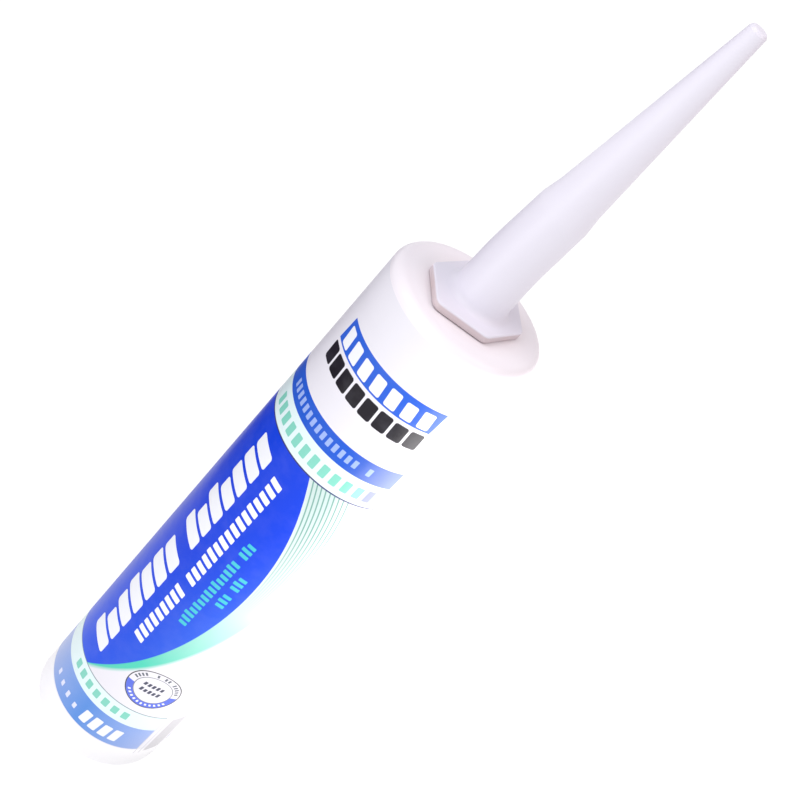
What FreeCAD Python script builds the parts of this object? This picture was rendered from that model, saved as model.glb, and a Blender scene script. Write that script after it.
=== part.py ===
import FreeCAD, Part
import math
import os
from FreeCAD import Vector

# Sealant cartridge: a thin moulded barrel with a closed threaded neck, a screw-on
# nozzle with a six-sided grip flange, the paste, and the piston that pushes it out.
# Millimetres. +Z runs from the open rear rim to the nozzle, and the origin is the
# centre of the rear rim, which the cartridge stands on.

# Barrel
BARREL_RADIUS = 24.75
BARREL_WALL = 1.4
BARREL_LENGTH = 217.0
HEAD_THICKNESS = 2.2
SHOULDER_ROUND = 3.5
HEAD_INNER_CHAMFER = 2.0
RIM_LEAD_IN = 0.5
RIM_LEAD_IN_LENGTH = 1.6
RIM_CHAMFER = 0.3

# Threaded neck, at the thread's root, closed by a thin membrane until first use
NECK_RADIUS = 6.7
NECK_HEIGHT = 12.6
NECK_BORE_RADIUS = 4.8
NECK_MEMBRANE = 0.9
NECK_TIP_CHAMFER = 0.7
THREAD_DEPTH = 0.6

# Nozzle
FLANGE_SEAT_GAP = 0.3
FLANGE_THICKNESS = 2.5
FLANGE_HALF_WIDTH = 13.2
FLANGE_FLAT_LENGTH = 16.4
FLANGE_TIP_REACH = 18.2
FLANGE_TURN_DEG = 67.0
FLANGE_CORNER_ROUND = 2.6
FLANGE_EDGE_CHAMFER = 0.4
FLARE_WIDTH = 2.2
FLARE_HEIGHT = 2.6
SOCKET_MOUTH_RADIUS = 8.65
SOCKET_END_RADIUS = 8.0
SOCKET_LENGTH = 37.0
STEP_LENGTH = 6.0
CONE_BASE_RADIUS = 7.1
CONE_TIP_RADIUS = 2.7
CONE_LENGTH = 59.4
TIP_CHAMFER_LENGTH = 0.8
TIP_END_RADIUS = 2.1
SPOUT_WALL = 1.1
SPOUT_TIP_PLUG = 8.0
SPOUT_LEAN_DEG = 3.7
LEAN_BEND_LENGTH = 9.0
THREAD_CLEARANCE = 0.2
NECK_TOP_CLEARANCE = 0.8

# Paste
PASTE_LENGTH = 158.0
PASTE_GAP = 0.3

# Piston
PISTON_HEIGHT = 21.0
PISTON_FIT = 0.08
PISTON_FACE_THICKNESS = 1.6
PISTON_SKIRT_WALL = 1.3
PISTON_WAIST_INSET = 0.7
PISTON_LIP_HEIGHT = 2.6
PISTON_LIP_SLOPE = 1.4
PISTON_NOSE_CHAMFER = 1.8
RIB_COUNT = 8
RIB_THICKNESS = 1.2
RIB_INNER_RADIUS = 11.5
RIB_FOOT_HEIGHT = 5.0

# Places that follow from the sizes above
BARREL_BORE_RADIUS = BARREL_RADIUS - BARREL_WALL
HEAD_UNDERSIDE = BARREL_LENGTH - HEAD_THICKNESS
NECK_TOP = BARREL_LENGTH + NECK_HEIGHT
FLANGE_BOTTOM = BARREL_LENGTH + FLANGE_SEAT_GAP
PASTE_TOP = HEAD_UNDERSIDE - PASTE_GAP
PASTE_BOTTOM = PASTE_TOP - PASTE_LENGTH
PISTON_FACE = PASTE_BOTTOM - PASTE_GAP
PISTON_REAR = PISTON_FACE - PISTON_HEIGHT
SOCKET_BORE_RADIUS = NECK_RADIUS + THREAD_DEPTH + THREAD_CLEARANCE
BEND_START = NECK_TOP + NECK_TOP_CLEARANCE


def rounded_wire(corners):
    """Closed wire through (point, radius) corners, each turned by a tangent arc."""
    edges = []
    last_end = None
    first_start = None
    count = len(corners)
    for index, (corner, radius) in enumerate(corners):
        before = corners[index - 1][0]
        after = corners[(index + 1) % count][0]
        to_before = (before - corner).normalize()
        to_after = (after - corner).normalize()
        start = corner
        end = corner
        arc = None
        if radius > 0:
            half_angle = to_before.getAngle(to_after) / 2
            cut = radius / math.tan(half_angle)
            start = corner + to_before * cut
            end = corner + to_after * cut
            bisector = (to_before + to_after).normalize()
            middle = corner + bisector * (radius / math.sin(half_angle) - radius)
            arc = Part.Arc(start, middle, end).toShape()
        if last_end is None:
            first_start = start
        else:
            edges.append(Part.LineSegment(last_end, start).toShape())
        if arc is not None:
            edges.append(arc)
        last_end = end
    edges.append(Part.LineSegment(last_end, first_start).toShape())
    return Part.Wire(edges)


def turned(section):
    """Solid of revolution about Z from (radius, height, corner round) points."""
    corners = [(Vector(radius, 0, height), turn) for radius, height, turn in section]
    face = Part.Face(rounded_wire(corners))
    return face.revolve(Vector(0, 0, 0), Vector(0, 0, 1), 360)


def make_barrel():
    return turned([
        (BARREL_BORE_RADIUS, RIM_LEAD_IN_LENGTH, 0),
        (BARREL_BORE_RADIUS + RIM_LEAD_IN, 0, 0),
        (BARREL_RADIUS - RIM_CHAMFER, 0, 0),
        (BARREL_RADIUS, RIM_CHAMFER, 0),
        (BARREL_RADIUS, BARREL_LENGTH, SHOULDER_ROUND),
        (NECK_RADIUS, BARREL_LENGTH, 0),
        (NECK_RADIUS, NECK_TOP - NECK_TIP_CHAMFER, 0),
        (NECK_RADIUS - NECK_TIP_CHAMFER, NECK_TOP, 0),
        (0, NECK_TOP, 0),
        (0, NECK_TOP - NECK_MEMBRANE, 0),
        (NECK_BORE_RADIUS, NECK_TOP - NECK_MEMBRANE, 0),
        (NECK_BORE_RADIUS, HEAD_UNDERSIDE, 0),
        (BARREL_BORE_RADIUS - HEAD_INNER_CHAMFER, HEAD_UNDERSIDE, 0),
        (BARREL_BORE_RADIUS, HEAD_UNDERSIDE - HEAD_INNER_CHAMFER, 0),
    ])


def make_paste():
    radius = BARREL_BORE_RADIUS - PASTE_GAP
    return turned([
        (0, PASTE_BOTTOM, 0),
        (radius, PASTE_BOTTOM, 0),
        (radius, PASTE_TOP - HEAD_INNER_CHAMFER, 0),
        (radius - HEAD_INNER_CHAMFER, PASTE_TOP, 0),
        (0, PASTE_TOP, 0),
    ])


def make_piston():
    """Cup open to the rear, with a sealing lip at each end of its skirt and ribs inside."""
    lip = BARREL_BORE_RADIUS - PISTON_FIT
    waist = lip - PISTON_WAIST_INSET
    inside = waist - PISTON_SKIRT_WALL
    face_underside = PISTON_FACE - PISTON_FACE_THICKNESS
    front_lip = PISTON_FACE - PISTON_NOSE_CHAMFER
    cup = turned([
        (0, PISTON_FACE, 0),
        (lip - PISTON_NOSE_CHAMFER, PISTON_FACE, 0),
        (lip, front_lip, 0),
        (lip, front_lip - PISTON_LIP_HEIGHT, 0),
        (waist, front_lip - PISTON_LIP_HEIGHT - PISTON_LIP_SLOPE, 0),
        (waist, PISTON_REAR + PISTON_LIP_HEIGHT + PISTON_LIP_SLOPE, 0),
        (lip, PISTON_REAR + PISTON_LIP_HEIGHT, 0),
        (lip, PISTON_REAR, 0),
        (inside, PISTON_REAR, 0),
        (inside, face_underside, 0),
        (0, face_underside, 0),
    ])
    root = (inside + waist) / 2
    seat = (face_underside + PISTON_FACE) / 2
    outline = Part.makePolygon([
        Vector(RIB_INNER_RADIUS, -RIB_THICKNESS / 2, seat),
        Vector(root, -RIB_THICKNESS / 2, seat),
        Vector(root, -RIB_THICKNESS / 2, PISTON_REAR + RIB_FOOT_HEIGHT),
        Vector(inside, -RIB_THICKNESS / 2, PISTON_REAR + RIB_FOOT_HEIGHT),
        Vector(RIB_INNER_RADIUS, -RIB_THICKNESS / 2, face_underside),
        Vector(RIB_INNER_RADIUS, -RIB_THICKNESS / 2, seat),
    ])
    rib = Part.Face(outline).extrude(Vector(0, RIB_THICKNESS, 0))
    ribs = []
    for index in range(RIB_COUNT):
        turned_rib = rib.copy()
        turned_rib.rotate(Vector(0, 0, 0), Vector(0, 0, 1), 360 * index / RIB_COUNT)
        ribs.append(turned_rib)
    return cup.fuse(ribs).removeSplitter()


def make_flange():
    """Six-sided grip plate: two long flats and two pointed ends, with rounded corners."""
    half_flat = FLANGE_FLAT_LENGTH / 2
    outline = [
        (half_flat, FLANGE_HALF_WIDTH),
        (-half_flat, FLANGE_HALF_WIDTH),
        (-FLANGE_TIP_REACH, 0),
        (-half_flat, -FLANGE_HALF_WIDTH),
        (half_flat, -FLANGE_HALF_WIDTH),
        (FLANGE_TIP_REACH, 0),
    ]
    corners = [(Vector(x, y, FLANGE_BOTTOM), FLANGE_CORNER_ROUND) for x, y in outline]
    plate = Part.Face(rounded_wire(corners)).extrude(Vector(0, 0, FLANGE_THICKNESS))
    top = FLANGE_BOTTOM + FLANGE_THICKNESS
    rim = [edge for edge in plate.Edges if all(abs(v.Z - top) < 1e-6 for v in edge.Vertexes)]
    plate = plate.makeChamfer(FLANGE_EDGE_CHAMFER, rim)
    plate.rotate(Vector(0, 0, 0), Vector(0, 0, 1), FLANGE_TURN_DEG)
    return plate


def spout_radius(height):
    """Outside radius at a height above the flange's underside, from socket to tip."""
    cone_start = SOCKET_LENGTH + STEP_LENGTH
    cone_end = cone_start + CONE_LENGTH
    stations = [
        (0, SOCKET_MOUTH_RADIUS),
        (SOCKET_LENGTH, SOCKET_END_RADIUS),
        (cone_start, CONE_BASE_RADIUS),
        (cone_end, CONE_TIP_RADIUS),
        (cone_end + TIP_CHAMFER_LENGTH, TIP_END_RADIUS),
    ]
    for (low, low_radius), (high, high_radius) in zip(stations, stations[1:]):
        if height <= high:
            share = (height - low) / (high - low)
            return low_radius + (high_radius - low_radius) * share
    return TIP_END_RADIUS


def spout_ring(height, radius):
    """Circle round the spout's spine, which bends over to its lean just above the neck."""
    run = height - (BEND_START - FLANGE_BOTTOM)
    bend_share = min(max(run / LEAN_BEND_LENGTH, 0), 1)
    lean = math.radians(SPOUT_LEAN_DEG) * bend_share
    bend_radius = LEAN_BEND_LENGTH / math.radians(SPOUT_LEAN_DEG)
    straight = max(run - LEAN_BEND_LENGTH, 0)
    below = min(run, 0)
    centre = Vector(
        bend_radius * (1 - math.cos(lean)) + straight * math.sin(lean),
        0,
        BEND_START + bend_radius * math.sin(lean) + straight * math.cos(lean) + below,
    )
    along = Vector(math.sin(lean), 0, math.cos(lean))
    return Part.Wire([Part.Circle(centre, along, radius).toShape()])


def spout_solid(heights, inset):
    """Solid through the spout's rings at these heights, its radius less the inset."""
    rings = [spout_ring(height, spout_radius(height) - inset) for height in heights]
    return Part.makeLoft(rings, True, True)


def make_nozzle():
    flange_top = FLANGE_BOTTOM + FLANGE_THICKNESS
    bend = BEND_START - FLANGE_BOTTOM
    bend_heights = [bend, bend + LEAN_BEND_LENGTH / 2, bend + LEAN_BEND_LENGTH]
    cone_start = SOCKET_LENGTH + STEP_LENGTH
    cone_end = cone_start + CONE_LENGTH
    tip = cone_end + TIP_CHAMFER_LENGTH

    flare_end = FLANGE_THICKNESS + FLARE_HEIGHT
    socket = turned([
        (0, flange_top, 0),
        (SOCKET_MOUTH_RADIUS + FLARE_WIDTH, flange_top, 0),
        (spout_radius(flare_end), FLANGE_BOTTOM + flare_end, 0),
        (spout_radius(bend), BEND_START, 0),
        (0, BEND_START, 0),
    ])
    spout = spout_solid([*bend_heights, SOCKET_LENGTH, cone_start, cone_end, tip], 0)
    hollow = spout_solid([*bend_heights, cone_start, tip - SPOUT_TIP_PLUG], SPOUT_WALL)
    bore = Part.makeCylinder(SOCKET_BORE_RADIUS, bend, Vector(0, 0, FLANGE_BOTTOM))
    body = make_flange().fuse([socket, spout])
    return body.cut(bore.fuse(hollow)).removeSplitter()


def export(name, shape):
    solids = shape.Solids
    print(f"{name}: {len(solids)} solid, {shape.Volume / 1000:.2f} cm3, valid {shape.isValid()}")
    shape.exportStep(f"parts/{name}.step")


os.makedirs("parts", exist_ok=True)
export("barrel", make_barrel())
export("nozzle", make_nozzle())
export("sealant", make_paste())
export("piston", make_piston())
print(f"piston travel {PASTE_LENGTH - 1:.1f}, paste {PASTE_BOTTOM:.2f} to {PASTE_TOP:.2f}")
print(f"piston {PISTON_REAR:.2f} to {PISTON_FACE:.2f}, neck top {NECK_TOP:.2f}, bend {BEND_START:.2f}")
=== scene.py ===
import bmesh
import bpy
import math
from mathutils import Matrix, Vector


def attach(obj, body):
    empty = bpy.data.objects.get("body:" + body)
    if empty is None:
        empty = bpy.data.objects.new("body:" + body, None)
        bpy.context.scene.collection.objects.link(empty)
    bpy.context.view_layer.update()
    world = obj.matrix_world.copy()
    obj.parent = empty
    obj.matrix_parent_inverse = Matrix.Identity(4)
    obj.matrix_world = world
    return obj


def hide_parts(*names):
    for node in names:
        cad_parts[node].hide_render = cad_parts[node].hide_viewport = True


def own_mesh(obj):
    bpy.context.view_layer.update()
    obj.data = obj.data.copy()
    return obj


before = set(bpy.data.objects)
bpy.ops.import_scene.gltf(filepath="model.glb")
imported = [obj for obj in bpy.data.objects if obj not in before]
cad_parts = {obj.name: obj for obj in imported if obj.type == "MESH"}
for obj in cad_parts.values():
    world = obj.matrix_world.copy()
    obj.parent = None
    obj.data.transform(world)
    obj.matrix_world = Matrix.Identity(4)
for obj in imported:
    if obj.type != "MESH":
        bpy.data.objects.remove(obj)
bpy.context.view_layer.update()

# Sealant cartridge, dressed on its CAD frame. The moulded parts are turned and swept again
# here with their rounded edges, and the print on the barrel is worked out in its material.
# Sizes are in millimetres and heights are above the rear rim; meshes are made in metres.

MM = 0.001

# Barrel, neck and thread
BARREL_RADIUS = 24.75
BARREL_BORE = 23.35
HEAD_HEIGHT = 217.0
HEAD_UNDERSIDE = 214.8
SHOULDER_ROUND = 3.5
RIM_CHAMFER = 0.5
RIM_CHAMFER_TOP = 1.6
PRINTED_WALL_TOP = 212
NECK_RADIUS = 6.7
NECK_TIP_RADIUS = NECK_RADIUS - 0.3
NECK_TAPER = (226.6, 227.2)
NECK_TOP = 229.6
NECK_BORE = 4.8
NECK_MEMBRANE = 0.9
THREAD_CREST = 0.55
THREAD_PITCH = 2.9
THREAD_TURNS = 3.1
THREAD_START = 219.6
THREAD_STEPS = 72
THREAD_FADE = 14.0
THREAD_END_SIZE = 0.05

# Nozzle. Its lengths start at the underside of its flange
FLANGE_BOTTOM = 217.3
FLANGE_THICKNESS = 2.5
FLANGE_HALF_WIDTH = 13.2
FLANGE_FLAT_LENGTH = 16.4
FLANGE_TIP_REACH = 18.2
FLANGE_CORNER_ROUND = 2.6
FLANGE_STEP_ANGLE = 2.2
FLANGE_TURN = 67.0
FLANGE_EDGE = 0.45
FLANGE_FOOT_EDGE = 0.25
FLARE_WIDTH = 2.2
FLARE_HEIGHT = 2.6
SOCKET_MOUTH = 8.65
FLARE_OUTER = SOCKET_MOUTH + FLARE_WIDTH
SOCKET_END = 8.0
SOCKET_LENGTH = 37.0
STEP_LENGTH = 6.0
CONE_BASE = 7.1
CONE_TIP = 2.7
CONE_LENGTH = 59.4
TIP_LENGTH = 0.8
TIP_END = 2.1
NOZZLE_BORE = 7.5
BORE_EDGE = 0.3
BORE_MARGIN = 1.9
SPOUT_WALL = 1.1
TIP_PLUG = 8.0
HOLLOW_END_RADIUS = CONE_TIP - SPOUT_WALL + 0.4
HOLLOW_END_DROP = 0.6
BEND_START = 230.4
BEND_LENGTH = 9.0
LEAN = 3.7

# Piston and paste
PISTON_FACE = 56.2
PISTON_REAR = 35.2
PISTON_LIP = 23.27
LIP_CHAMFER = 1.8
LIP_END = 4.4
LIP_FOOT = 5.8
REAR_LIP_END = 2.6
REAR_LIP_FOOT = 4.0
PISTON_WAIST = 22.57
PISTON_INSIDE = 21.27
PISTON_FACE_THICKNESS = 1.6
DISH_RADIUS = 9.0
DISH_FLOOR_RADIUS = 8.4
DISH_DEPTH = 0.35
PASTE_BOTTOM = 56.5
PASTE_TOP = 214.5
PASTE_RADIUS = 23.05
RIB_COUNT = 8
RIB_THICKNESS = 1.2
RIB_INNER_RADIUS = 11.5
RIB_FOOT = 5.0
RIB_INTO_WALL = 0.4
RIB_INTO_FACE = 0.5

# Label. Heights are (from, to). Places round the barrel are arcs that grow to the right, from
# the middle of the front or, on the rear panel, from the middle of the back.
FRONT = (-52.7, 21.9)
FOOT = (-1, 11.6)
VARNISH = (9, 203)
LOWER_BAND = (12, 25)
LOWER_STRIP = (25, 33.2)
LOWER_RULE = (33.15, 33.5)
FIELD = (33.5, 155.3)
UPPER_RULE = (155.2, 155.7)
UPPER_STRIP = (155.5, 165)
UPPER_BAND = (165, 172.2)
UPPER_BAND_SPAN = (-52.7, 20.6)
END_MARK = (157.6, 162.6)
END_MARK_SPAN = (15.4, 18.0)
TOP_BLOCK = (189.5, 197.8)
TOP_BLOCK_SPAN = (-24.2, 16.3)
FIELD_RADIUS = 117.8
FIELD_SETBACK = 107
FIELD_MIDDLE = 105
SWEEP_CENTRE = (-120.8, 129.6)
SWEEP_RADIUS = 144.8
WASH_FOOT = 88
FAN_FOOT = 96
LINE_SPACING = 0.76
LINE_WIDENING = 0.0145
BADGE = (9.5, 46.3)
BADGE_RADIUS = 9.4
BADGE_RIM_INSIDE = 9.05
BADGE_CORE = 6.6
BADGE_CORE_INSIDE = 6.35
BADGE_TICK_RADIUS = 7.8
REAR_PANEL = (-42.6, 22.5)
REAR_ENDS = ((12, 14.2), (170, 172.2))
SEAMS = ((-53.9, -53.5), (21.9, 22.2))
SIDE_BLOCK = (-52.4, -45.4)
LOW_SIDE_BLOCK = (10, 31.5)
HIGH_SIDE_BLOCK = (183.5, 199)
COLUMNS_START = 22.0
COLUMNS_LENGTH = 64.6
COLUMN_WIDTH = 5.6
COLUMN_HEIGHTS = (34, 148)
COLUMN_BAR = 2.1

# Camera, fitted to the photograph's view of the tube, and floor, in metres
CAMERA_PLACE = (0, -0.335755, 0.398112)
CAMERA_FORWARD = (0.00834362, 0.83679782, -0.54744844)
CAMERA_UP = (-0.68068946, 0.4058002, 0.60990823)
CAMERA_LENS = 63.42
FLOOR_SIZE = 24

# Softness of a printed edge, and the angle from which an edge is shaded sharp
INK_EDGE = 0.12
SHARP_ANGLE = 35.0


# Mesh making

def rounded(path, steps):
    """Points of a section through (radius, height, round) corners, each round drawn as an arc."""
    points = []
    for index, (radius, height, turn) in enumerate(path):
        corner = Vector((radius, height))
        if turn <= 0:
            points.append(corner)
            continue
        before = (Vector(path[index - 1][:2]) - corner).normalized()
        after = (Vector(path[index + 1][:2]) - corner).normalized()
        half = before.angle(after) / 2
        centre = corner + (before + after).normalized() * (turn / math.sin(half))
        start = corner + before * (turn / math.tan(half)) - centre
        end = corner + after * (turn / math.tan(half)) - centre
        sweep = start.angle(end)
        for step in range(steps + 1):
            share = step / steps
            arm = start * math.sin((1 - share) * sweep) + end * math.sin(share * sweep)
            points.append(centre + arm / math.sin(sweep))
    return points


def ring(radius, height, angles):
    """One ring of a turned shape, or a single point where it closes on the axis."""
    if radius < 1e-6:
        return [Vector((0, 0, height))]
    return [Vector((radius * math.cos(a), radius * math.sin(a), height)) for a in angles]


def skin(name, rings):
    """Object whose faces join each ring to the next, the first and last closed at a point."""
    shell = bmesh.new()
    made = [[shell.verts.new(point * MM) for point in points] for points in rings]
    for upper, lower in zip(made, made[1:]):
        count = max(len(upper), len(lower))
        for index in range(count):
            following = (index + 1) % count
            corners = [
                upper[index % len(upper)],
                lower[index % len(lower)],
                lower[following % len(lower)],
                upper[following % len(upper)],
            ]
            unique = list(dict.fromkeys(corners))
            shell.faces.new(unique).smooth = True
    mesh = bpy.data.meshes.new(name)
    shell.to_mesh(mesh)
    shell.free()
    mesh.set_sharp_from_angle(angle=math.radians(SHARP_ANGLE))
    made_object = bpy.data.objects.new(name, mesh)
    bpy.context.scene.collection.objects.link(made_object)
    return made_object


def turned(name, section, segments):
    """Turned shape about Z. The section runs from the axis down its outside and back up inside."""
    angles = [2 * math.pi * index / segments for index in range(segments)]
    return skin(name, [ring(point.x, point.y, angles) for point in section])


def even_heights(section, longest):
    """The section with its long straight runs divided, so that light and print bend with them."""
    points = [section[0]]
    for start, end in zip(section, section[1:]):
        parts = max(1, math.ceil((end - start).length / longest))
        points.extend(start.lerp(end, (part + 1) / parts) for part in range(parts))
    return points


# Geometry Nodes

class Tree:
    """Geometry node tree whose named inputs are set on the object that it finishes."""

    def __init__(self, name, inputs):
        self.group = bpy.data.node_groups.new(name, "GeometryNodeTree")
        interface = self.group.interface
        interface.new_socket("Geometry", in_out="INPUT", socket_type="NodeSocketGeometry")
        for label in inputs:
            kind = "NodeSocketInt" if isinstance(inputs[label], int) else "NodeSocketFloat"
            interface.new_socket(label, in_out="INPUT", socket_type=kind)
        interface.new_socket("Geometry", in_out="OUTPUT", socket_type="NodeSocketGeometry")
        self.inputs = inputs
        self.source = self.group.nodes.new("NodeGroupInput")
        self.result = self.group.nodes.new("NodeGroupOutput")

    def given(self, label):
        """Output that carries the named input's value."""
        return self.source.outputs[label]

    def add(self, kind, settings=None, sockets=None):
        """Adds any node: its settings first, then the values or links of its sockets."""
        node = self.group.nodes.new(kind)
        for key, value in (settings or {}).items():
            setattr(node, key, value)
        for key, value in (sockets or {}).items():
            if isinstance(value, bpy.types.NodeSocket):
                self.group.links.new(value, node.inputs[key])
            else:
                node.inputs[key].default_value = value
        return node

    def math(self, operation, *values):
        sockets = dict(enumerate(values))
        return self.add("ShaderNodeMath", {"operation": operation}, sockets).outputs[0]

    def finish(self, geometry, material):
        """Ends the tree: instances become real and every face gets the material."""
        real = self.add("GeometryNodeRealizeInstances", {}, {0: geometry})
        painted = self.add("GeometryNodeSetMaterial", {}, {0: real.outputs[0], "Material": material})
        self.group.links.new(painted.outputs[0], self.result.inputs[0])

    def run(self, piece, sharp_angle=SHARP_ANGLE):
        """Runs the tree on the piece and keeps the outcome as its plain mesh."""
        modifier = piece.modifiers.new(self.group.name, "NODES")
        modifier.node_group = self.group
        for item in self.group.interface.items_tree:
            if item.in_out == "INPUT" and item.name in self.inputs:
                modifier[item.identifier] = self.inputs[item.name]
        graph = bpy.context.evaluated_depsgraph_get()
        mesh = bpy.data.meshes.new_from_object(piece.evaluated_get(graph), depsgraph=graph)
        piece.modifiers.remove(modifier)
        piece.data = mesh
        for face in mesh.polygons:
            face.use_smooth = True
        mesh.set_sharp_from_angle(angle=math.radians(sharp_angle))
        return piece


def lean_over(piece, material):
    """Bends a straight spout over to its lean: upright below the bend, straight beyond it."""
    tree = Tree("lean over", {
        "Bend Start": BEND_START * MM,
        "Bend Length": BEND_LENGTH * MM,
        "Lean": math.radians(LEAN),
    })
    position = tree.add("GeometryNodeInputPosition")
    across, side, height = tree.add("ShaderNodeSeparateXYZ", {}, {0: position.outputs[0]}).outputs
    run = tree.math("SUBTRACT", height, tree.given("Bend Start"))
    share = tree.math("DIVIDE", run, tree.given("Bend Length"))
    clamped = tree.math("MINIMUM", tree.math("MAXIMUM", share, 0.0), 1.0)
    angle = tree.math("MULTIPLY", clamped, tree.given("Lean"))
    bend_radius = tree.math("DIVIDE", tree.given("Bend Length"), tree.given("Lean"))
    straight = tree.math("MAXIMUM", tree.math("SUBTRACT", run, tree.given("Bend Length")), 0.0)
    below = tree.math("MINIMUM", run, 0.0)
    cosine = tree.math("COSINE", angle)
    sine = tree.math("SINE", angle)
    spine_x = tree.math(
        "MULTIPLY_ADD", bend_radius, tree.math("SUBTRACT", 1.0, cosine),
        tree.math("MULTIPLY", straight, sine),
    )
    foot_z = tree.math("ADD", below, tree.given("Bend Start"))
    spine_z = tree.math(
        "MULTIPLY_ADD", bend_radius, sine,
        tree.math("MULTIPLY_ADD", straight, cosine, foot_z),
    )
    new_x = tree.math("MULTIPLY_ADD", across, cosine, spine_x)
    new_z = tree.math("SUBTRACT", spine_z, tree.math("MULTIPLY", across, sine))
    moved = tree.add("ShaderNodeCombineXYZ", {}, {0: new_x, 1: side, 2: new_z})
    bent = tree.add("GeometryNodeSetPosition", {}, {
        "Geometry": tree.source.outputs[0],
        "Position": moved.outputs[0],
    })
    tree.finish(bent.outputs[0], material)
    return tree.run(piece)


def neck_thread(material):
    """Screw thread round the neck, one ridge on a helix that fades in and out at its ends."""
    tree = Tree("neck thread", {
        "Root Radius": NECK_RADIUS * MM,
        "Crest": THREAD_CREST * MM,
        "Pitch": THREAD_PITCH * MM,
        "Turns": THREAD_TURNS,
        "Start Height": THREAD_START * MM,
        "Steps": THREAD_STEPS,
    })
    helix = tree.add("GeometryNodeCurveSpiral", {}, {
        "Resolution": tree.given("Steps"),
        "Rotations": tree.given("Turns"),
        "Start Radius": tree.given("Root Radius"),
        "End Radius": tree.given("Root Radius"),
        "Height": tree.math("MULTIPLY", tree.given("Pitch"), tree.given("Turns")),
    })
    lift = tree.add("ShaderNodeCombineXYZ", {}, {2: tree.given("Start Height")})
    raised = tree.add("GeometryNodeSetPosition", {}, {0: helix.outputs[0], "Offset": lift.outputs[0]})
    along = tree.add("GeometryNodeSplineParameter").outputs["Factor"]
    fade_in = tree.math("MULTIPLY", along, THREAD_FADE)
    fade_out = tree.math("MULTIPLY", tree.math("SUBTRACT", 1.0, along), THREAD_FADE)
    fade = tree.math("MINIMUM", tree.math("MINIMUM", fade_in, fade_out), 1.0)
    ridge_share = tree.math("MAXIMUM", fade, THREAD_END_SIZE)
    ridge_size = tree.math("MULTIPLY", ridge_share, tree.given("Crest"))
    ridge = tree.add("GeometryNodeCurvePrimitiveCircle", {}, {"Resolution": 10, "Radius": 1.0})
    swept = tree.add("GeometryNodeCurveToMesh", {}, {
        "Curve": raised.outputs[0],
        "Profile Curve": ridge.outputs[0],
        "Scale": ridge_size,
        "Fill Caps": True,
    })
    tree.finish(swept.outputs[0], material)
    piece = bpy.data.objects.new("neck_thread", bpy.data.meshes.new("neck_thread"))
    bpy.context.scene.collection.objects.link(piece)
    return tree.run(piece, 60.0)


def piston_ribs(material):
    """The gussets inside the piston's cup, one plate set round the axis."""
    half = RIB_THICKNESS / 2
    underside = PISTON_FACE - PISTON_FACE_THICKNESS
    outline = [
        (RIB_INNER_RADIUS, underside + RIB_INTO_FACE),
        (PISTON_INSIDE + RIB_INTO_WALL, underside + RIB_INTO_FACE),
        (PISTON_INSIDE + RIB_INTO_WALL, PISTON_REAR + RIB_FOOT),
        (PISTON_INSIDE, PISTON_REAR + RIB_FOOT),
        (RIB_INNER_RADIUS, underside),
    ]
    plate = bmesh.new()
    near = [plate.verts.new(Vector((r, -half, z)) * MM) for r, z in outline]
    far = [plate.verts.new(Vector((r, half, z)) * MM) for r, z in outline]
    plate.faces.new(list(reversed(near)))
    plate.faces.new(far)
    for index in range(len(outline)):
        following = (index + 1) % len(outline)
        plate.faces.new([near[index], near[following], far[following], far[index]])
    bmesh.ops.recalc_face_normals(plate, faces=plate.faces)
    edges = [edge for edge in plate.edges if not edge.is_boundary]
    edge_round = {"offset": 0.15 * MM, "segments": 2, "clamp_overlap": True}
    bmesh.ops.bevel(plate, geom=edges, affect="EDGES", **edge_round)
    mesh = bpy.data.meshes.new("piston_ribs")
    plate.to_mesh(mesh)
    plate.free()
    piece = bpy.data.objects.new("piston_ribs", mesh)
    bpy.context.scene.collection.objects.link(piece)

    tree = Tree("ribs round the axis", {"Count": RIB_COUNT})
    points = tree.add("GeometryNodePoints", {}, {"Count": tree.given("Count")})
    number = tree.add("GeometryNodeInputIndex").outputs[0]
    turn = tree.math("DIVIDE", tree.math("MULTIPLY", number, 2 * math.pi), tree.given("Count"))
    spin = tree.add("ShaderNodeCombineXYZ", {}, {2: turn})
    placed = tree.add("GeometryNodeInstanceOnPoints", {}, {
        "Points": points.outputs[0],
        "Instance": tree.source.outputs[0],
        "Rotation": spin.outputs[0],
    })
    tree.finish(placed.outputs[0], material)
    return tree.run(piece)


# Materials

class Signal:
    """A value inside a material. Arithmetic on it adds Math nodes to that material."""

    def __init__(self, finish, socket):
        self.finish = finish
        self.socket = socket

    def __add__(self, other):
        return self.finish.math("ADD", self, other)

    def __sub__(self, other):
        return self.finish.math("SUBTRACT", self, other)

    def __mul__(self, other):
        return self.finish.math("MULTIPLY", self, other)

    def __truediv__(self, other):
        return self.finish.math("DIVIDE", self, other)

    def __rsub__(self, other):
        return self.finish.math("SUBTRACT", other, self)


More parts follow.
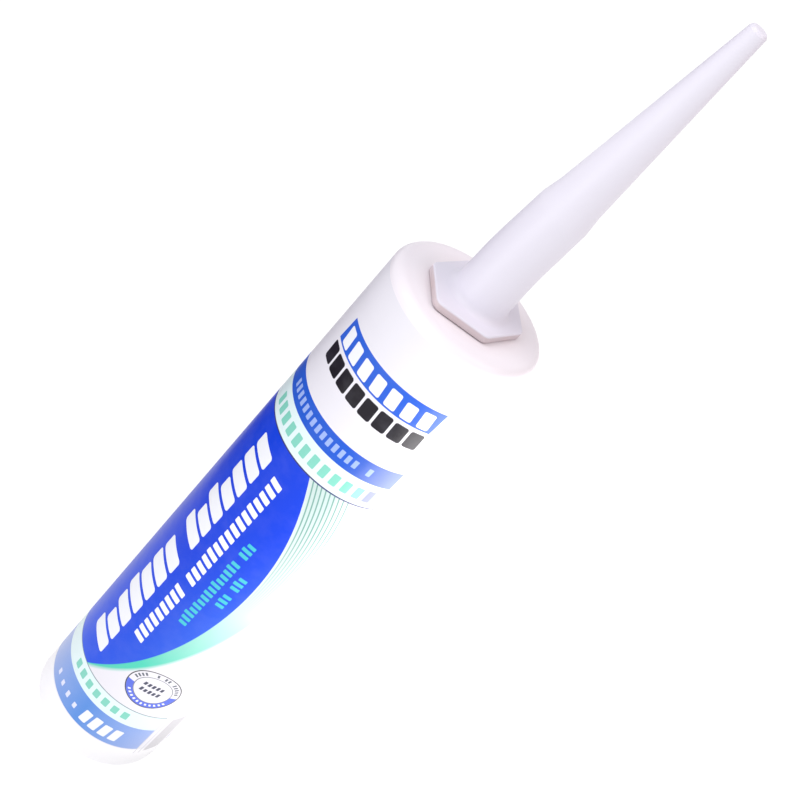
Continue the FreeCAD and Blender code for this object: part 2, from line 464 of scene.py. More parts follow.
class Works:
    """Shader nodes of one tree, added through one method and the arithmetic of their signals."""

    def __init__(self, tree):
        self.tree = tree

    def add(self, kind, settings, sockets, output=0):
        """Adds any node: its settings first, then the values or links of its sockets."""
        node = self.tree.nodes.new(kind)
        for key, value in settings.items():
            setattr(node, key, value)
        for key, value in sockets.items():
            if isinstance(value, Signal):
                self.tree.links.new(value.socket, node.inputs[key])
            else:
                node.inputs[key].default_value = value
        return Signal(self, node.outputs[output])

    def math(self, operation, *values):
        return self.add("ShaderNodeMath", {"operation": operation}, dict(enumerate(values)))

    def clamped(self, value):
        return self.add("ShaderNodeClamp", {}, {0: value})

    def mix(self, share, below, above):
        """Colour that turns from below to above as the share goes from 0 to 1."""
        sockets = {0: share, 6: below, 7: above}
        return self.add("ShaderNodeMix", {"data_type": "RGBA"}, sockets, 2)

    def above(self, value, limit, soft=INK_EDGE):
        """1 where the value is over the limit, with an edge as soft as printed ink."""
        sockets = {"Value": value, "From Min": limit - soft / 2, "From Max": limit + soft / 2}
        return self.add("ShaderNodeMapRange", {}, sockets)

    def between(self, value, low, high, soft=INK_EDGE):
        """1 where the value is between the two limits."""
        sockets = {
            "Value": value, "From Min": high - soft / 2, "From Max": high + soft / 2,
            "To Min": 1.0, "To Max": 0.0,
        }
        return self.above(value, low, soft) * self.add("ShaderNodeMapRange", {}, sockets)


class Finish(Works):
    """One surface finish: a Principled shader and the nodes that vary it."""

    def __init__(self, name, constants):
        self.material = bpy.data.materials.new(name)
        self.material.use_nodes = True
        super().__init__(self.material.node_tree)
        self.tree.nodes.clear()
        self.shader = self.tree.nodes.new("ShaderNodeBsdfPrincipled")
        output = self.tree.nodes.new("ShaderNodeOutputMaterial")
        self.tree.links.new(self.shader.outputs[0], output.inputs["Surface"])
        for key, value in constants.items():
            self.shader.inputs[key].default_value = value
        self.place = self.add("ShaderNodeTexCoord", {}, {}, "Object")
        spread = self.add("ShaderNodeSeparateXYZ", {}, {0: self.place})
        axes = spread.socket.node.outputs
        self.x, self.y, self.z = [Signal(self, socket) * (1 / MM) for socket in axes]

    def noise(self, scale, detail, stretch=(1, 1, 1)):
        """Soft noise between 0 and 1. The scale is in features per metre."""
        spread = self.add("ShaderNodeMapping", {}, {0: self.place, "Scale": stretch})
        sockets = {"Vector": spread, "Scale": scale, "Detail": detail}
        return self.add("ShaderNodeTexNoise", {}, sockets)

    def feed(self, key, value):
        """Links the value to the shader's socket of that name."""
        self.tree.links.new(value.socket, self.shader.inputs[key])

    def bump(self, height, distance):
        """Raises the surface by the height, whose full range is the distance in millimetres."""
        sockets = {"Height": height, "Distance": distance * MM, "Strength": 1.0}
        self.feed("Normal", self.add("ShaderNodeBump", {}, sockets))


def colour(red, green, blue):
    """Shader colour from the 0 to 255 numbers of a screen colour."""
    def linear(level):
        share = level / 255
        return share / 12.92 if share <= 0.04045 else ((share + 0.055) / 1.055) ** 2.4
    return (linear(red), linear(green), linear(blue), 1.0)


WHITE = colour(237, 235, 241)
INK_WHITE = colour(246, 248, 252)
MINT = colour(84, 212, 184)
PALE_MINT = colour(134, 214, 194)
SEA_MINT = colour(70, 196, 210)
BLACK = colour(30, 26, 34)
GREY = colour(105, 110, 120)

ROW_INPUTS = (
    "Along", "Across", "Start", "Foot", "Top", "Count",
    "Cell", "Gap", "Slant", "Seed", "Uneven", "Spaces",
)

# Rows of bars: ink, area (start, end, foot, top), width of a bar and its gap, that gap, slant,
# seed of the row's chances, share by which heights differ, share of places left empty
UPRIGHT_ROWS = [
    (INK_WHITE, (41, 96, 12.1, 23.2), 7.8, 1.5, 0.22, 3.0, 0.28, 0.0),
    (INK_WHITE, (101, 150, 12.1, 23.2), 6.9, 1.4, 0.22, 17.0, 0.28, 0.0),
    (INK_WHITE, (60, 147, 3.9, 8.4), 3.3, 1.1, 0.16, 29.0, 0.12, 0.12),
    (SEA_MINT, (79, 127, -2.6, 1.0), 2.3, 0.9, 0.0, 41.0, 0.3, 0.16),
    (SEA_MINT, (94, 113, -7.4, -4.0), 2.3, 0.9, 0.0, 53.0, 0.3, 0.16),
]
LEVEL_ROWS = [
    (PALE_MINT, (-17.5, 10.5, 27.4, 31.2), 4.0, 1.6, 0.0, 61.0, 0.06, 0.0),
    (PALE_MINT, (-28, 15, 157.8, 162.4), 3.9, 1.5, 0.0, 71.0, 0.06, 0.1),
    (colour(158, 182, 240), (-26, 14, 167.1, 170.2), 2.4, 1.0, 0.0, 83.0, 0.1, 0.1),
    (colour(226, 230, 252), (-23, -5, 15.6, 18.6), 2.2, 0.7, 0.0, 97.0, 0.3, 0.1),
    (INK_WHITE, (-3.4, 12.6, 14.4, 21.2), 4.0, 1.1, 0.12, 101.0, 0.1, 0.0),
    (BLACK, (-24.4, 17.2, 182.1, 188.4), 5.15, 0.8, -0.05, 113.0, 0.04, 0.0),
    (INK_WHITE, (-22.6, 16.1, 190.1, 196.3), 5.5, 1.8, -0.12, 127.0, 0.1, 0.0),
]
REAR_ROWS = [
    (GREY, (-42.0, -9.0, 190.5, 192.9), 2.1, 0.7, 0.0, 307.0, 0.2, 0.14),
    (GREY, (-42.0, -18.0, 194.6, 197.0), 2.1, 0.7, 0.0, 311.0, 0.2, 0.14),
    (GREY, (-42.0, -6.0, 20.2, 22.6), 2.1, 0.7, 0.0, 317.0, 0.2, 0.14),
]
BADGE_ROWS = [
    (colour(80, 82, 100), (5.1, 13.9, 44.2, 46.2), 1.5, 0.5, 0.2, 131.0, 0.2, 0.0),
    (colour(80, 82, 100), (5.1, 13.9, 47.4, 49.4), 1.5, 0.5, 0.2, 139.0, 0.2, 0.0),
]
BADGE_TICK_ROWS = [
    (GREY, (1.2, 22.8, 7.1, 8.6), 1.35, 0.6, 0.0, 211.0, 0.25, 0.1),
    (INK_WHITE, (-20.6, -3.6, 7.3, 8.4), 1.5, 0.8, 0.0, 223.0, 0.2, 0.1),
]


def bar_row():
    """Node group that draws one row of plain rounded bars."""
    group = bpy.data.node_groups.new("row of bars", "ShaderNodeTree")
    for label in ROW_INPUTS:
        group.interface.new_socket(label, in_out="INPUT", socket_type="NodeSocketFloat")
    group.interface.new_socket("Mask", in_out="OUTPUT", socket_type="NodeSocketFloat")
    works = Works(group)
    source = group.nodes.new("NodeGroupInput")
    given = {label: Signal(works, source.outputs[label]) for label in ROW_INPUTS}
    leaning = given["Along"] - (given["Across"] - given["Foot"]) * given["Slant"]
    cells = (leaning - given["Start"]) / given["Cell"]
    index = works.math("FLOOR", cells)
    settings = {"noise_dimensions": "1D"}
    chance = works.add("ShaderNodeTexWhiteNoise", settings, {"W": index + given["Seed"]})
    ceiling = given["Top"] - (1 - chance) * (given["Top"] - given["Foot"]) * given["Uneven"]
    half_wide = (given["Cell"] - given["Gap"]) / 2
    half_tall = (ceiling - given["Foot"]) / 2
    corner = works.math("MINIMUM", half_wide, half_tall) * 0.35
    aside = works.math("ABSOLUTE", (cells - index - 0.5) * given["Cell"]) - half_wide + corner
    upward = works.math("ABSOLUTE", given["Across"] - given["Foot"] - half_tall) - half_tall + corner
    outer_aside = works.math("MAXIMUM", aside, 0.0)
    outer_upward = works.math("MAXIMUM", upward, 0.0)
    beyond = works.math("SQRT", outer_aside * outer_aside + outer_upward * outer_upward)
    body = works.above(corner - beyond, 0.0)
    used = works.math("GREATER_THAN", chance, given["Spaces"])
    inside = works.math("GREATER_THAN", index, -0.5) * works.math("LESS_THAN", index, given["Count"])
    result = group.nodes.new("NodeGroupOutput")
    group.links.new((body * used * inside).socket, result.inputs[0])
    return group


class Print(Finish):
    """The printed wall of the barrel: flat inks laid one over another on white plastic."""

    def __init__(self, name, constants, bare):
        super().__init__(name, constants)
        turn = self.math("ARCTAN2", self.x, 0 - self.y)
        rear_turn = self.math("ARCTAN2", 0 - self.x, self.y)
        self.round = turn * BARREL_RADIUS
        self.rear = rear_turn * BARREL_RADIUS
        self.ink = bare
        self.row = bar_row()
        self.front = self.between(self.round, *FRONT, 0.3)

    def lay(self, mask, ink):
        """Prints the ink over all that lies there already."""
        self.ink = self.mix(mask, self.ink, ink)

    def disc(self, centre_round, centre_height, radius, soft=INK_EDGE):
        """1 within the radius of a centre on the unrolled wall."""
        across = self.round - centre_round
        up = self.z - centre_height
        reach = self.math("SQRT", across * across + up * up)
        return self.above(0 - reach, 0 - radius, soft)

    def bars(self, along, across, area, cell, gap, slant, seed, uneven, spaces):
        """Row of plain bars that fills an area: (start, end, foot, top)."""
        start, end, foot, top = area
        count = math.floor((end - start) / cell) - 0.5
        values = (along, across, start, foot, top, count, cell, gap, slant, seed, uneven, spaces)
        return self.add("ShaderNodeGroup", {"node_tree": self.row}, dict(zip(ROW_INPUTS, values)))

    def lay_rows(self, along, across, rows):
        """Prints each row of a list of bar rows."""
        for ink, *row in rows:
            self.lay(self.bars(along, across, *row), ink)


def print_ground(paint):
    """Pale strips above and below the main field, the bare foot and the lower band."""
    height = paint.z
    strips = paint.between(height, *LOWER_STRIP) + paint.between(height, *UPPER_STRIP)
    paint.lay(strips * paint.front, colour(230, 248, 248))

    # The bare foot is a little whiter: partly its own whiter plastic, and partly painted light that
    # lifts the shade the left board casts there
    paint.lay(paint.between(height, *FOOT, 0.6), colour(253, 252, 254))

    # The band is paler towards both ends, which is painted glare: the light that washes the band out
    # at its sides
    paleness = paint.clamped(paint.math("ABSOLUTE", paint.round + 3) / 28)
    band_ink = paint.mix(paleness, colour(92, 146, 224), colour(168, 186, 234))
    paint.lay(paint.between(height, *LOWER_BAND) * paint.front, band_ink)


def print_field(paint):
    """Main field, with the mint sweep and the fan of fine lines beside it."""
    around = paint.round
    height = paint.z
    field_height = paint.between(height, *FIELD) * paint.front

    # Mint sweep, fading as it rises
    sweep = paint.disc(*SWEEP_CENTRE, SWEEP_RADIUS, 1.4) * field_height
    fade = paint.clamped((104 - height) / 52)
    strength = fade * 0.78 + paint.clamped((157 - height) / 70) * 0.26
    paint.lay(sweep * paint.clamped(strength), MINT)

    # Lines beside the field's edge are ranked from it, and their spacing grows upwards
    up_field = height - FIELD_MIDDLE
    field_edge = paint.math("SQRT", FIELD_RADIUS ** 2 - up_field * up_field) - FIELD_SETBACK
    spacing = up_field * LINE_WIDENING + LINE_SPACING
    rank = (around - field_edge) / spacing

    # Pale wash under the fan
    low_wash = paint.clamped((height - WASH_FOOT) / 16) * 0.46
    washed = low_wash + paint.clamped((height - 120) / 30) * 0.3
    wash_area = paint.between(rank, -0.4, 7.6, 3.0) * paint.between(height, WASH_FOOT, FIELD[1])
    paint.lay(wash_area * washed, colour(184, 212, 204))

    # The fan's lines, fainter further down
    beside_line = paint.math("ABSOLUTE", rank - paint.math("ROUND", rank)) * spacing
    upper = paint.between(height, FAN_FOOT, FIELD[1]) * paint.clamped((height - 97) / 42)
    fan_area = paint.between(rank, 0.5, 9.5, 0.02) * upper
    paint.lay(paint.above(0 - beside_line, -0.2, 0.16) * fan_area, colour(112, 162, 150))

    # Main field, deeper towards its upper end and paler near its curved edge. Both gradients are
    # painted
    # reflection: the lower end is paler where the floor is mirrored in the varnish, and the paler
    # blue near the edge stands in for the glare from the right.
    depth = paint.clamped((height - 34) / 70)
    near_edge = paint.clamped((around + 12) / 24) * paint.clamped((132 - height) / 50)
    blue = paint.mix(depth, colour(30, 84, 230), colour(8, 64, 220))
    field = paint.disc(-FIELD_SETBACK, FIELD_MIDDLE, FIELD_RADIUS) * field_height
    paint.lay(field, paint.mix(near_edge * 0.7, blue, colour(62, 108, 218)))


def print_bands(paint):
    """Thin rules, a small mark, the upper band and the block behind the topmost bars."""
    around = paint.round
    height = paint.z
    paint.lay(paint.between(height, *LOWER_RULE) * paint.front, colour(120, 140, 150))
    paint.lay(paint.between(height, *UPPER_RULE) * paint.front, colour(52, 52, 112))
    mark = paint.between(around, *END_MARK_SPAN, 0.6) * paint.between(height, *END_MARK, 0.6)
    paint.lay(mark, colour(138, 144, 192))

    # The band is greyer towards its end
    band_end = paint.clamped((around - 4) / 14)
    band = paint.between(height, *UPPER_BAND) * paint.between(around, *UPPER_BAND_SPAN, 0.6)
    paint.lay(band, paint.mix(band_end, colour(34, 92, 208), colour(96, 118, 186)))

    tilted = around - (height - 190) * 0.05
    block = paint.between(tilted, *TOP_BLOCK_SPAN) * paint.between(height, *TOP_BLOCK)
    paint.lay(block, colour(44, 98, 214))


def print_badge(paint):
    """Round badge below the field, with a half-filled collar, ticks and two short rows."""
    around = paint.round
    height = paint.z
    plate = paint.disc(*BADGE, BADGE_RADIUS)
    rim = plate * (1 - paint.disc(*BADGE, BADGE_RIM_INSIDE))
    collar = paint.disc(*BADGE, BADGE_RIM_INSIDE) * (1 - paint.disc(*BADGE, BADGE_CORE))
    paint.lay(plate, WHITE)
    paint.lay(collar * paint.above(BADGE[1] - height, 0.5), colour(96, 116, 226))
    across = around - BADGE[0]
    up = height - BADGE[1]
    turn_round = paint.math("ARCTAN2", up, across) * BADGE_TICK_RADIUS
    out_from_badge = paint.math("SQRT", across * across + up * up)
    paint.lay_rows(turn_round, out_from_badge, BADGE_TICK_ROWS)
    paint.lay(rim, BLACK)
    inner_rim = paint.disc(*BADGE, BADGE_CORE) * (1 - paint.disc(*BADGE, BADGE_CORE_INSIDE))
    paint.lay(inner_rim, GREY)
    paint.lay_rows(around, height, BADGE_ROWS)


def print_rear(paint):
    """Rear panel: two pale side blocks, end lines and columns of small bars."""
    rear = paint.rear
    height = paint.z
    left_seam, right_seam = SEAMS
    seam = paint.between(rear, *left_seam) + paint.between(paint.round, *right_seam)
    paint.lay(seam * paint.between(height, *VARNISH), colour(216, 214, 220))
    side_block = paint.between(rear, *SIDE_BLOCK, 0.6)
    paint.lay(side_block * paint.between(height, *LOW_SIDE_BLOCK, 0.6), colour(208, 206, 210))
    paint.lay(side_block * paint.between(height, *HIGH_SIDE_BLOCK, 0.6), colour(160, 162, 167))
    lower_end, upper_end = REAR_ENDS
    ends = paint.between(height, *lower_end) + paint.between(height, *upper_end)
    paint.lay(ends * paint.between(rear, *REAR_PANEL, 0.3), colour(96, 130, 236))

    # Columns are counted from the right, and each one ends at a height of its own
    over = COLUMNS_START - rear
    column = paint.math("FLOOR", over / COLUMN_WIDTH)
    ragged = paint.add("ShaderNodeTexWhiteNoise", {"noise_dimensions": "1D"}, {"W": column})
    across = over - column * COLUMN_WIDTH
    column_seed = column * 61 + 151
    area = (*COLUMN_HEIGHTS, 0.0, COLUMN_BAR)
    lines = paint.bars(height, across, area, 1.9, 0.7, 0.0, column_seed, 0.3, 0.17)
    below_end = paint.above(COLUMN_HEIGHTS[1] - ragged * 22 - height, 0)
    paint.lay(lines * paint.between(over, 0, COLUMNS_LENGTH) * below_end, GREY)
    paint.lay_rows(rear, height, REAR_ROWS)


def varnish(paint):
    """Faint mottle in the ink, and the gloss of the varnish over it."""
    mottle = paint.clamped((paint.noise(220, 4) - 0.42) * 0.08)
    paint.feed("Base Color", paint.mix(mottle, paint.ink, colour(214, 214, 232)))
    handling = paint.noise(34, 5, (1, 1, 0.45))
    grain = paint.noise(1500, 2)
    paint.feed("Roughness", handling * 0.14 + grain * 0.05 + 0.26)
    paint.feed("Coat Weight", paint.clamped(handling * 0.2) * paint.between(paint.z, *VARNISH, 2.0))
    ripple = paint.noise(60, 2, (1, 1, 0.3))
    paint.bump(grain * 0.35 + ripple * 3.0, 0.012)


def printed_wall():
    """White plastic with the label's fields, bands, fine lines and bars."""
    paint = Print("printed_barrel_plastic", {
        "IOR": 1.5,
        "Specular IOR Level": 0.16,
        "Coat Roughness": 0.12,
        "Coat IOR": 1.5,
    }, WHITE)
    print_ground(paint)
    print_field(paint)
    print_bands(paint)
    paint.lay_rows(paint.z, 0 - paint.round, UPRIGHT_ROWS)
    paint.lay_rows(paint.round, paint.z, LEVEL_ROWS)
    print_badge(paint)
    print_rear(paint)
    varnish(paint)
    return paint.material


def bare_plastic(name, tint, shade, roughness, painted_shade=None):
    """Moulded polyethylene: fine spark texture, slow flow marks and uneven gloss.

    painted_shade is (low height, high height, inner reach, outer reach, softness, share), the zone in
    millimetres that is painted a warm grey as shade, round and under the nozzle's grip plate."""
    plastic = Finish(name, {"IOR": 1.5})
    clouds = plastic.noise(38, 4, (1, 1, 0.5))
    grain = plastic.noise(1300, 3)
    flow = plastic.noise(150, 3, (1, 1, 0.06))
    tone = plastic.mix(plastic.clamped((clouds - 0.35) * 1.6), tint, shade)
    # Painted shade: the zone is darkened to a warm grey, patchy with the clouds
    if painted_shade:
        low, high, inner, outer, soft, share = painted_shade
        reach = plastic.math("SQRT", plastic.x * plastic.x + plastic.y * plastic.y)
        zone = plastic.between(plastic.z, low, high, 0.5) * plastic.between(reach, inner, outer, soft)
        patchy = plastic.clamped(clouds * 1.5 + 0.15)
        tone = plastic.mix(zone * patchy * share, tone, colour(200, 174, 168))
    plastic.feed("Base Color", tone)
    plastic.feed("Roughness", clouds * 0.12 + grain * 0.06 + roughness - 0.09)
    plastic.bump(grain * 0.5 + flow * 1.6, 0.02)
    return plastic.material


def paste_finish():
    """Thick white paste, smooth where it touched the wall, with faint folds and pits."""
    paste = Finish("white_paste", {"IOR": 1.45})
    folds = paste.noise(120, 5, (1, 1, 0.5))
    pits = paste.add("ShaderNodeTexVoronoi", {}, {"Vector": paste.place, "Scale": 260.0})
    paste.feed("Base Color", paste.mix(folds, colour(244, 242, 236), colour(232, 230, 224)))
    paste.feed("Roughness", folds * 0.2 + 0.4)
    paste.bump(folds * 1.0 + paste.clamped(pits * 3) * 0.4, 0.15)
    return paste.material


# Moulded parts

def make_barrel(wall, bare):
    """Barrel, head and neck as one moulding, open at the rear."""
    section = rounded([
        (0, NECK_TOP, 0),
        (NECK_TIP_RADIUS, NECK_TOP, 0.7),
        (NECK_TIP_RADIUS, NECK_TAPER[1], 0),
        (NECK_RADIUS, NECK_TAPER[0], 0),
        (NECK_RADIUS, HEAD_HEIGHT, 0.25),
        (BARREL_RADIUS, HEAD_HEIGHT, SHOULDER_ROUND),
        (BARREL_RADIUS, 0, 0.35),
        (BARREL_BORE + RIM_CHAMFER, 0, 0.25),
        (BARREL_BORE, RIM_CHAMFER_TOP, 0),
        (BARREL_BORE, HEAD_UNDERSIDE, 2.0),
        (NECK_BORE, HEAD_UNDERSIDE, 0.5),
        (NECK_BORE, NECK_TOP - NECK_MEMBRANE, 0.4),
        (0, NECK_TOP - NECK_MEMBRANE, 0),
    ], 10)
    piece = turned("barrel_moulding", even_heights(section, 12.0), 224)
    piece.data.materials.append(wall)
    piece.data.materials.append(bare)
    for face in piece.data.polygons:
        reach = math.hypot(face.center.x, face.center.y)
        outside = reach > (BARREL_RADIUS - 0.6) * MM
        printed = outside and face.center.z < PRINTED_WALL_TOP * MM
        face.material_index = 0 if printed else 1
    return piece


def flange_outline():
    """Points of the grip plate's outline in plan, close enough to draw round spout rings too."""
    half_flat = FLANGE_FLAT_LENGTH / 2
    corners = [
        (FLANGE_TIP_REACH, 0),
        (half_flat, FLANGE_HALF_WIDTH),
        (-half_flat, FLANGE_HALF_WIDTH),
        (-FLANGE_TIP_REACH, 0),
        (-half_flat, -FLANGE_HALF_WIDTH),
        (half_flat, -FLANGE_HALF_WIDTH),
    ]
    loop = [(x, y, FLANGE_CORNER_ROUND) for x, y in corners]
    points = rounded([(*corners[-1], 0), *loop, (*corners[0], 0)], 10)[1:-1]
    dense = []
    for start, end in zip(points, [*points[1:], points[0]]):
        parts = max(1, math.ceil(start.angle(end) / math.radians(FLANGE_STEP_ANGLE)))
        dense.extend(start.lerp(end, part / parts) for part in range(parts))
    turn = Matrix.Rotation(math.radians(FLANGE_TURN), 2)
    return [turn @ point for point in dense]


def spout_section():
    """Outside radius of the straight spout by height above the flange's underside."""
    cone_start = SOCKET_LENGTH + STEP_LENGTH
    cone_end = cone_start + CONE_LENGTH
    flare_top = FLANGE_THICKNESS + FLARE_HEIGHT
    mouth = SOCKET_MOUTH - (SOCKET_MOUTH - SOCKET_END) * flare_top / SOCKET_LENGTH
    return [
        (mouth, flare_top, 0),
        (SOCKET_END, SOCKET_LENGTH, 14.0),
        (CONE_BASE, cone_start, 14.0),
        (CONE_TIP, cone_end, 0.5),
        (TIP_END, cone_end + TIP_LENGTH, 0.35),
        (0, cone_end + TIP_LENGTH, 0),
    ]


def quarter_turn(steps):
    """Cosine and sine at each step of a quarter of a turn, both ends included."""
    angles = [math.pi / 2 * step / steps for step in range(steps + 1)]
    return [(math.cos(angle), math.sin(angle)) for angle in angles]


def plate_ring(outline, inset, height):
    """The grip plate's outline, drawn in by the inset."""
    return [Vector((*(point - point.normalized() * inset), height)) for point in outline]


def morph_ring(outline, share, height):
    """Ring on the plate's top, between its outline and the flare's foot."""
    points = []
    for point in outline:
        reach = (point.length - FLANGE_EDGE) * (1 - share) + FLARE_OUTER * share
        points.append(Vector((*(point.normalized() * reach), height)))
    return points


def hollow_path():
    """Inside of the spout above its bore, from the socket to the closed tip."""
    bend = BEND_START - FLANGE_BOTTOM
    tip = SOCKET_LENGTH + STEP_LENGTH + CONE_LENGTH + TIP_LENGTH - TIP_PLUG
    inner_socket = SOCKET_MOUTH - (SOCKET_MOUTH - SOCKET_END) * bend / SOCKET_LENGTH - SPOUT_WALL
    return [
        Vector((inner_socket, bend)),
        Vector((CONE_BASE - SPOUT_WALL, SOCKET_LENGTH + STEP_LENGTH)),
        Vector((HOLLOW_END_RADIUS, tip - HOLLOW_END_DROP)),
        Vector((0, tip)),
    ]


def make_nozzle(material):
    """Grip plate, socket, cone and blunt tip as one moulding, with its bore and hollow."""
    outline = flange_outline()
    angles = [math.atan2(point.y, point.x) for point in outline]
    top = FLANGE_THICKNESS

    # Down the outside, over the flare and the plate
    section = even_heights(list(reversed(rounded(spout_section(), 8))), 4.0)
    rings = [ring(point.x, point.y, angles) for point in section]
    flare_start = section[-1].x
    for cosine, sine in quarter_turn(9)[1:-1]:
        radius = FLARE_OUTER - (FLARE_OUTER - flare_start) * cosine
        rings.append(ring(radius, top + FLARE_HEIGHT * (1 - sine), angles))
    rings.extend(morph_ring(outline, share, top) for share in (1.0, 0.66, 0.33))
    for cosine, sine in quarter_turn(5):
        inset = FLANGE_EDGE * (1 - sine)
        rings.append(plate_ring(outline, inset, top - FLANGE_EDGE * (1 - cosine)))
    for cosine, sine in quarter_turn(4):
        inset = FLANGE_FOOT_EDGE * (1 - cosine)
        rings.append(plate_ring(outline, inset, FLANGE_FOOT_EDGE * (1 - sine)))

    # Back up the inside
    bore_rings = [
        (NOZZLE_BORE + BORE_MARGIN, 0),
        (NOZZLE_BORE + BORE_EDGE, 0),
        (NOZZLE_BORE, BORE_EDGE),
        (NOZZLE_BORE, BEND_START - FLANGE_BOTTOM),
    ]
    rings.extend(ring(radius, height, angles) for radius, height in bore_rings)
    rings.extend(ring(point.x, point.y, angles) for point in even_heights(hollow_path(), 4.0))
    raised = [[point + Vector((0, 0, FLANGE_BOTTOM)) for point in points] for points in rings]
    return lean_over(skin("nozzle_moulding", raised), material)


def make_piston(material):
    """Cup open to the rear with a sealing lip at each end of its skirt."""
    inner_face = PISTON_FACE - PISTON_FACE_THICKNESS
    section = rounded([
        (0, PISTON_FACE, 0),
        (PISTON_LIP - LIP_CHAMFER, PISTON_FACE, 0.6),
        (PISTON_LIP, PISTON_FACE - LIP_CHAMFER, 0.5),
        (PISTON_LIP, PISTON_FACE - LIP_END, 0.3),
        (PISTON_WAIST, PISTON_FACE - LIP_FOOT, 0.5),
        (PISTON_WAIST, PISTON_REAR + REAR_LIP_FOOT, 0.5),
        (PISTON_LIP, PISTON_REAR + REAR_LIP_END, 0.3),
        (PISTON_LIP, PISTON_REAR, 0.3),
        (PISTON_INSIDE, PISTON_REAR, 0.3),
        (PISTON_INSIDE, inner_face, 0.8),
        (DISH_RADIUS, inner_face, 0),
        (DISH_FLOOR_RADIUS, inner_face + DISH_DEPTH, 0),
        (0, inner_face + DISH_DEPTH, 0),
    ], 6)
    piece = turned("piston_cup", section, 160)
    piece.data.materials.append(material)
    return piece


def make_paste(material):
    """Paste between the piston and the head."""
    section = rounded([
        (0, PASTE_TOP, 0),
        (PASTE_RADIUS, PASTE_TOP, 2.2),
        (PASTE_RADIUS, PASTE_BOTTOM, 0.4),
        (0, PASTE_BOTTOM, 0),
    ], 6)
    piece = turned("paste_fill", even_heights(section, 12.0), 96)
    piece.data.materials.append(material)
    return piece


# Stage

def make_camera():
    """Camera where the photograph was taken from, rolled so that the tube lies across the frame."""
    forward = Vector(CAMERA_FORWARD)
    up = Vector(CAMERA_UP)
    lens = bpy.data.cameras.new("camera")
    lens.lens = CAMERA_LENS
    lens.sensor_width = 36.0
    lens.clip_start = 0.01
    lens.clip_end = 50.0
    camera = bpy.data.objects.new("camera", lens)
    turn = Matrix((forward.cross(up), up, -forward)).transposed()
    camera.matrix_world = Matrix.Translation(CAMERA_PLACE) @ turn.to_4x4()
    bpy.context.scene.collection.objects.link(camera)
    bpy.context.scene.camera = camera


def soft_light(name, place, target, width, height, power, tint):
    """Rectangular soft light at a place, turned to its target."""
    lamp = bpy.data.lights.new(name, "AREA")
    lamp.shape = "RECTANGLE"
    lamp.size = width
    lamp.size_y = height
    lamp.energy = power
    lamp.color = tint
    light = bpy.data.objects.new(name, lamp)
    light.location = place
    light.rotation_mode = "QUATERNION"
    light.rotation_quaternion = (Vector(target) - Vector(place)).to_track_quat("-Z", "Y")
    light.visible_camera = False
    bpy.context.scene.collection.objects.link(light)
    return light


def rectangle(width, height):
    """Corners of a flat rectangle with its middle at the origin."""
    x = width / 2
    y = height / 2
    return [Vector((-x, -y, 0)), Vector((x, -y, 0)), Vector((x, y, 0)), Vector((-x, y, 0))]


def stage_sheet(name, card_name, corners, tint, glow, seen):
    """Flat matt sheet that belongs to the stage and not to the tube."""
    mesh = bpy.data.meshes.new(name)
    mesh.from_pydata(corners, [], [(0, 1, 2, 3)])
    sheet = bpy.data.objects.new(name, mesh)
    bpy.context.scene.collection.objects.link(sheet)
    card = bpy.data.materials.new(card_name)
    card.use_nodes = True
    shader = card.node_tree.nodes["Principled BSDF"]
    shader.inputs["Base Color"].default_value = (*tint, 1)
    shader.inputs["Roughness"].default_value = 0.9
    shader.inputs["Specular IOR Level"].default_value = 0.0
    shader.inputs["Emission Color"].default_value = (1, 1, 1, 1)
    shader.inputs["Emission Strength"].default_value = glow
    mesh.materials.append(card)
    sheet.visible_camera = seen


def dark_board(name, place, target, width, height, tint):
    """Board out of the camera's sight, which shades one side of the tube and darkens its edge."""
    turn = (Vector(target) - Vector(place)).to_track_quat("-Z", "Y")
    corners = [Vector(place) + turn @ corner for corner in rectangle(width, height)]
    stage_sheet(name, name, corners, tint, 0.0, False)


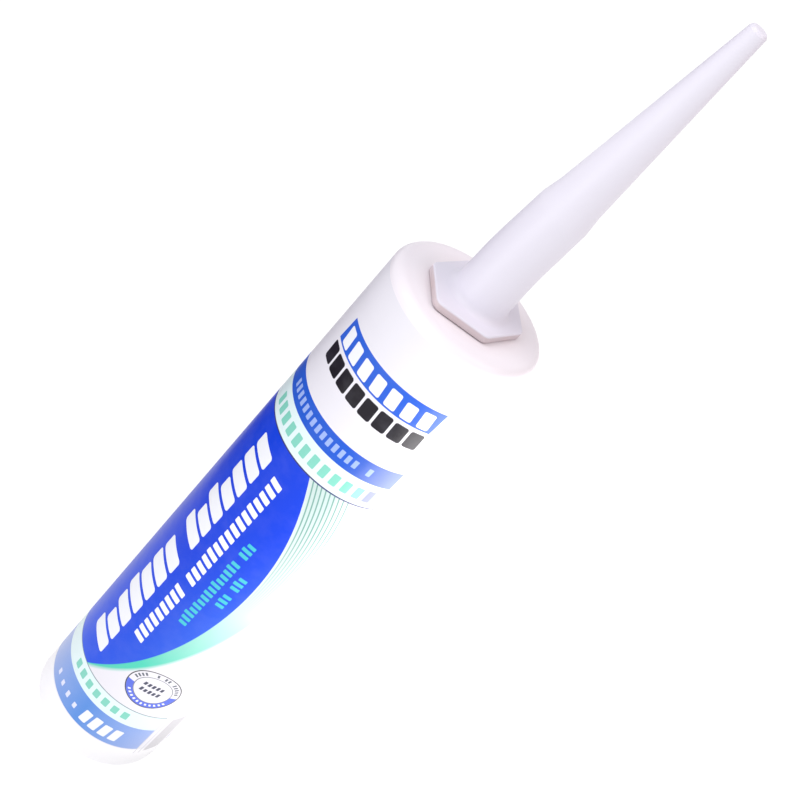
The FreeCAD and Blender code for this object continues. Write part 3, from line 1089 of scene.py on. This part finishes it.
def make_stage(barrel):
    """White floor, light tent, dark boards and soft lights, one of them for the barrel alone."""
    floor_corners = rectangle(FLOOR_SIZE, FLOOR_SIZE)
    stage_sheet("floor", "white_paper", floor_corners, (0.16, 0.16, 0.16), 0.96, True)

    world = bpy.data.worlds.new("light tent")
    world.use_nodes = True
    backdrop = world.node_tree.nodes["Background"]
    backdrop.inputs["Color"].default_value = (0.97, 0.97, 1.0, 1)
    backdrop.inputs["Strength"].default_value = 0.64
    bpy.context.scene.world = world
    bpy.context.scene.view_settings.view_transform = "Standard"

    dark = (0.14, 0.12, 0.18)
    dark_board("left_board", (-0.14, 0.03, 0.10), (0, 0, 0.10), 0.34, 0.2, dark)
    dark_board("nozzle_board", (-0.11, 0.06, 0.3), (0, 0, 0.3), 0.22, 0.08, dark)
    dark_board("right_board", (0.17, 0.08, 0.32), (0, 0, 0.28), 0.2, 0.14, (0.42, 0.30, 0.32))

    soft_light("key", (-0.55, -0.34, 1.04), (0, 0, 0.2), 0.8, 0.8, 4.9, (0.98, 0.96, 1.0))
    soft_light("low fill", (-0.30, -0.50, 0.10), (0, 0, 0.03), 0.3, 0.16, 0.55, (0.98, 0.97, 1.0))
    soft_light("warm side", (0.5, 0.05, 0.95), (0, 0, 0.22), 0.5, 0.5, 1.9, (1.0, 0.86, 0.84))

    # Low panel that overexposes the barrel's right side, as in the photograph
    place = (0.37, 0.02, 0.003)
    straight_up = (0.37, 0.02, 1.0)
    glare = soft_light("glare", place, straight_up, 0.44, 0.42, 5.2, (1.0, 0.98, 0.98))
    lit = bpy.data.collections.new("lit by the glare panel")
    lit.objects.link(barrel)
    glare.light_linking.receiver_collection = lit


def dress(piece, body, node):
    """Sets the piece on its body and hides the CAD node that it replaces, if one is given."""
    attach(piece, body)
    if node:
        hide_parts(node)


wall = printed_wall()
# Zones of painted shade: on the head round the grip plate's foot, and on the grip plate's walls
head_painted_shade = (216, 218, 12.6, 17.0, 5.0, 0.14)
flange_painted_shade = (216.6, 219.3, 10.8, 30, 1.5, 0.68)
bare = bare_plastic(
    "bare_barrel_plastic", colour(249, 244, 248), colour(245, 239, 245), 0.34, head_painted_shade,
)
nozzle_plastic = bare_plastic(
    "nozzle_plastic", colour(233, 230, 240), colour(229, 225, 236), 0.4, flange_painted_shade,
)
piston_plastic = bare_plastic(
    "piston_plastic", colour(232, 232, 236), colour(222, 223, 229), 0.42,
)
paste = paste_finish()

barrel = make_barrel(wall, bare)
dress(barrel, "barrel", "barrel")
dress(neck_thread(bare), "barrel", None)
dress(make_nozzle(nozzle_plastic), "nozzle", "nozzle")
dress(make_piston(piston_plastic), "piston", "piston")
dress(piston_ribs(piston_plastic), "piston", None)
fill = make_paste(paste)
dress(fill, "barrel", "sealant")
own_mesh(fill)

make_stage(barrel)
make_camera()
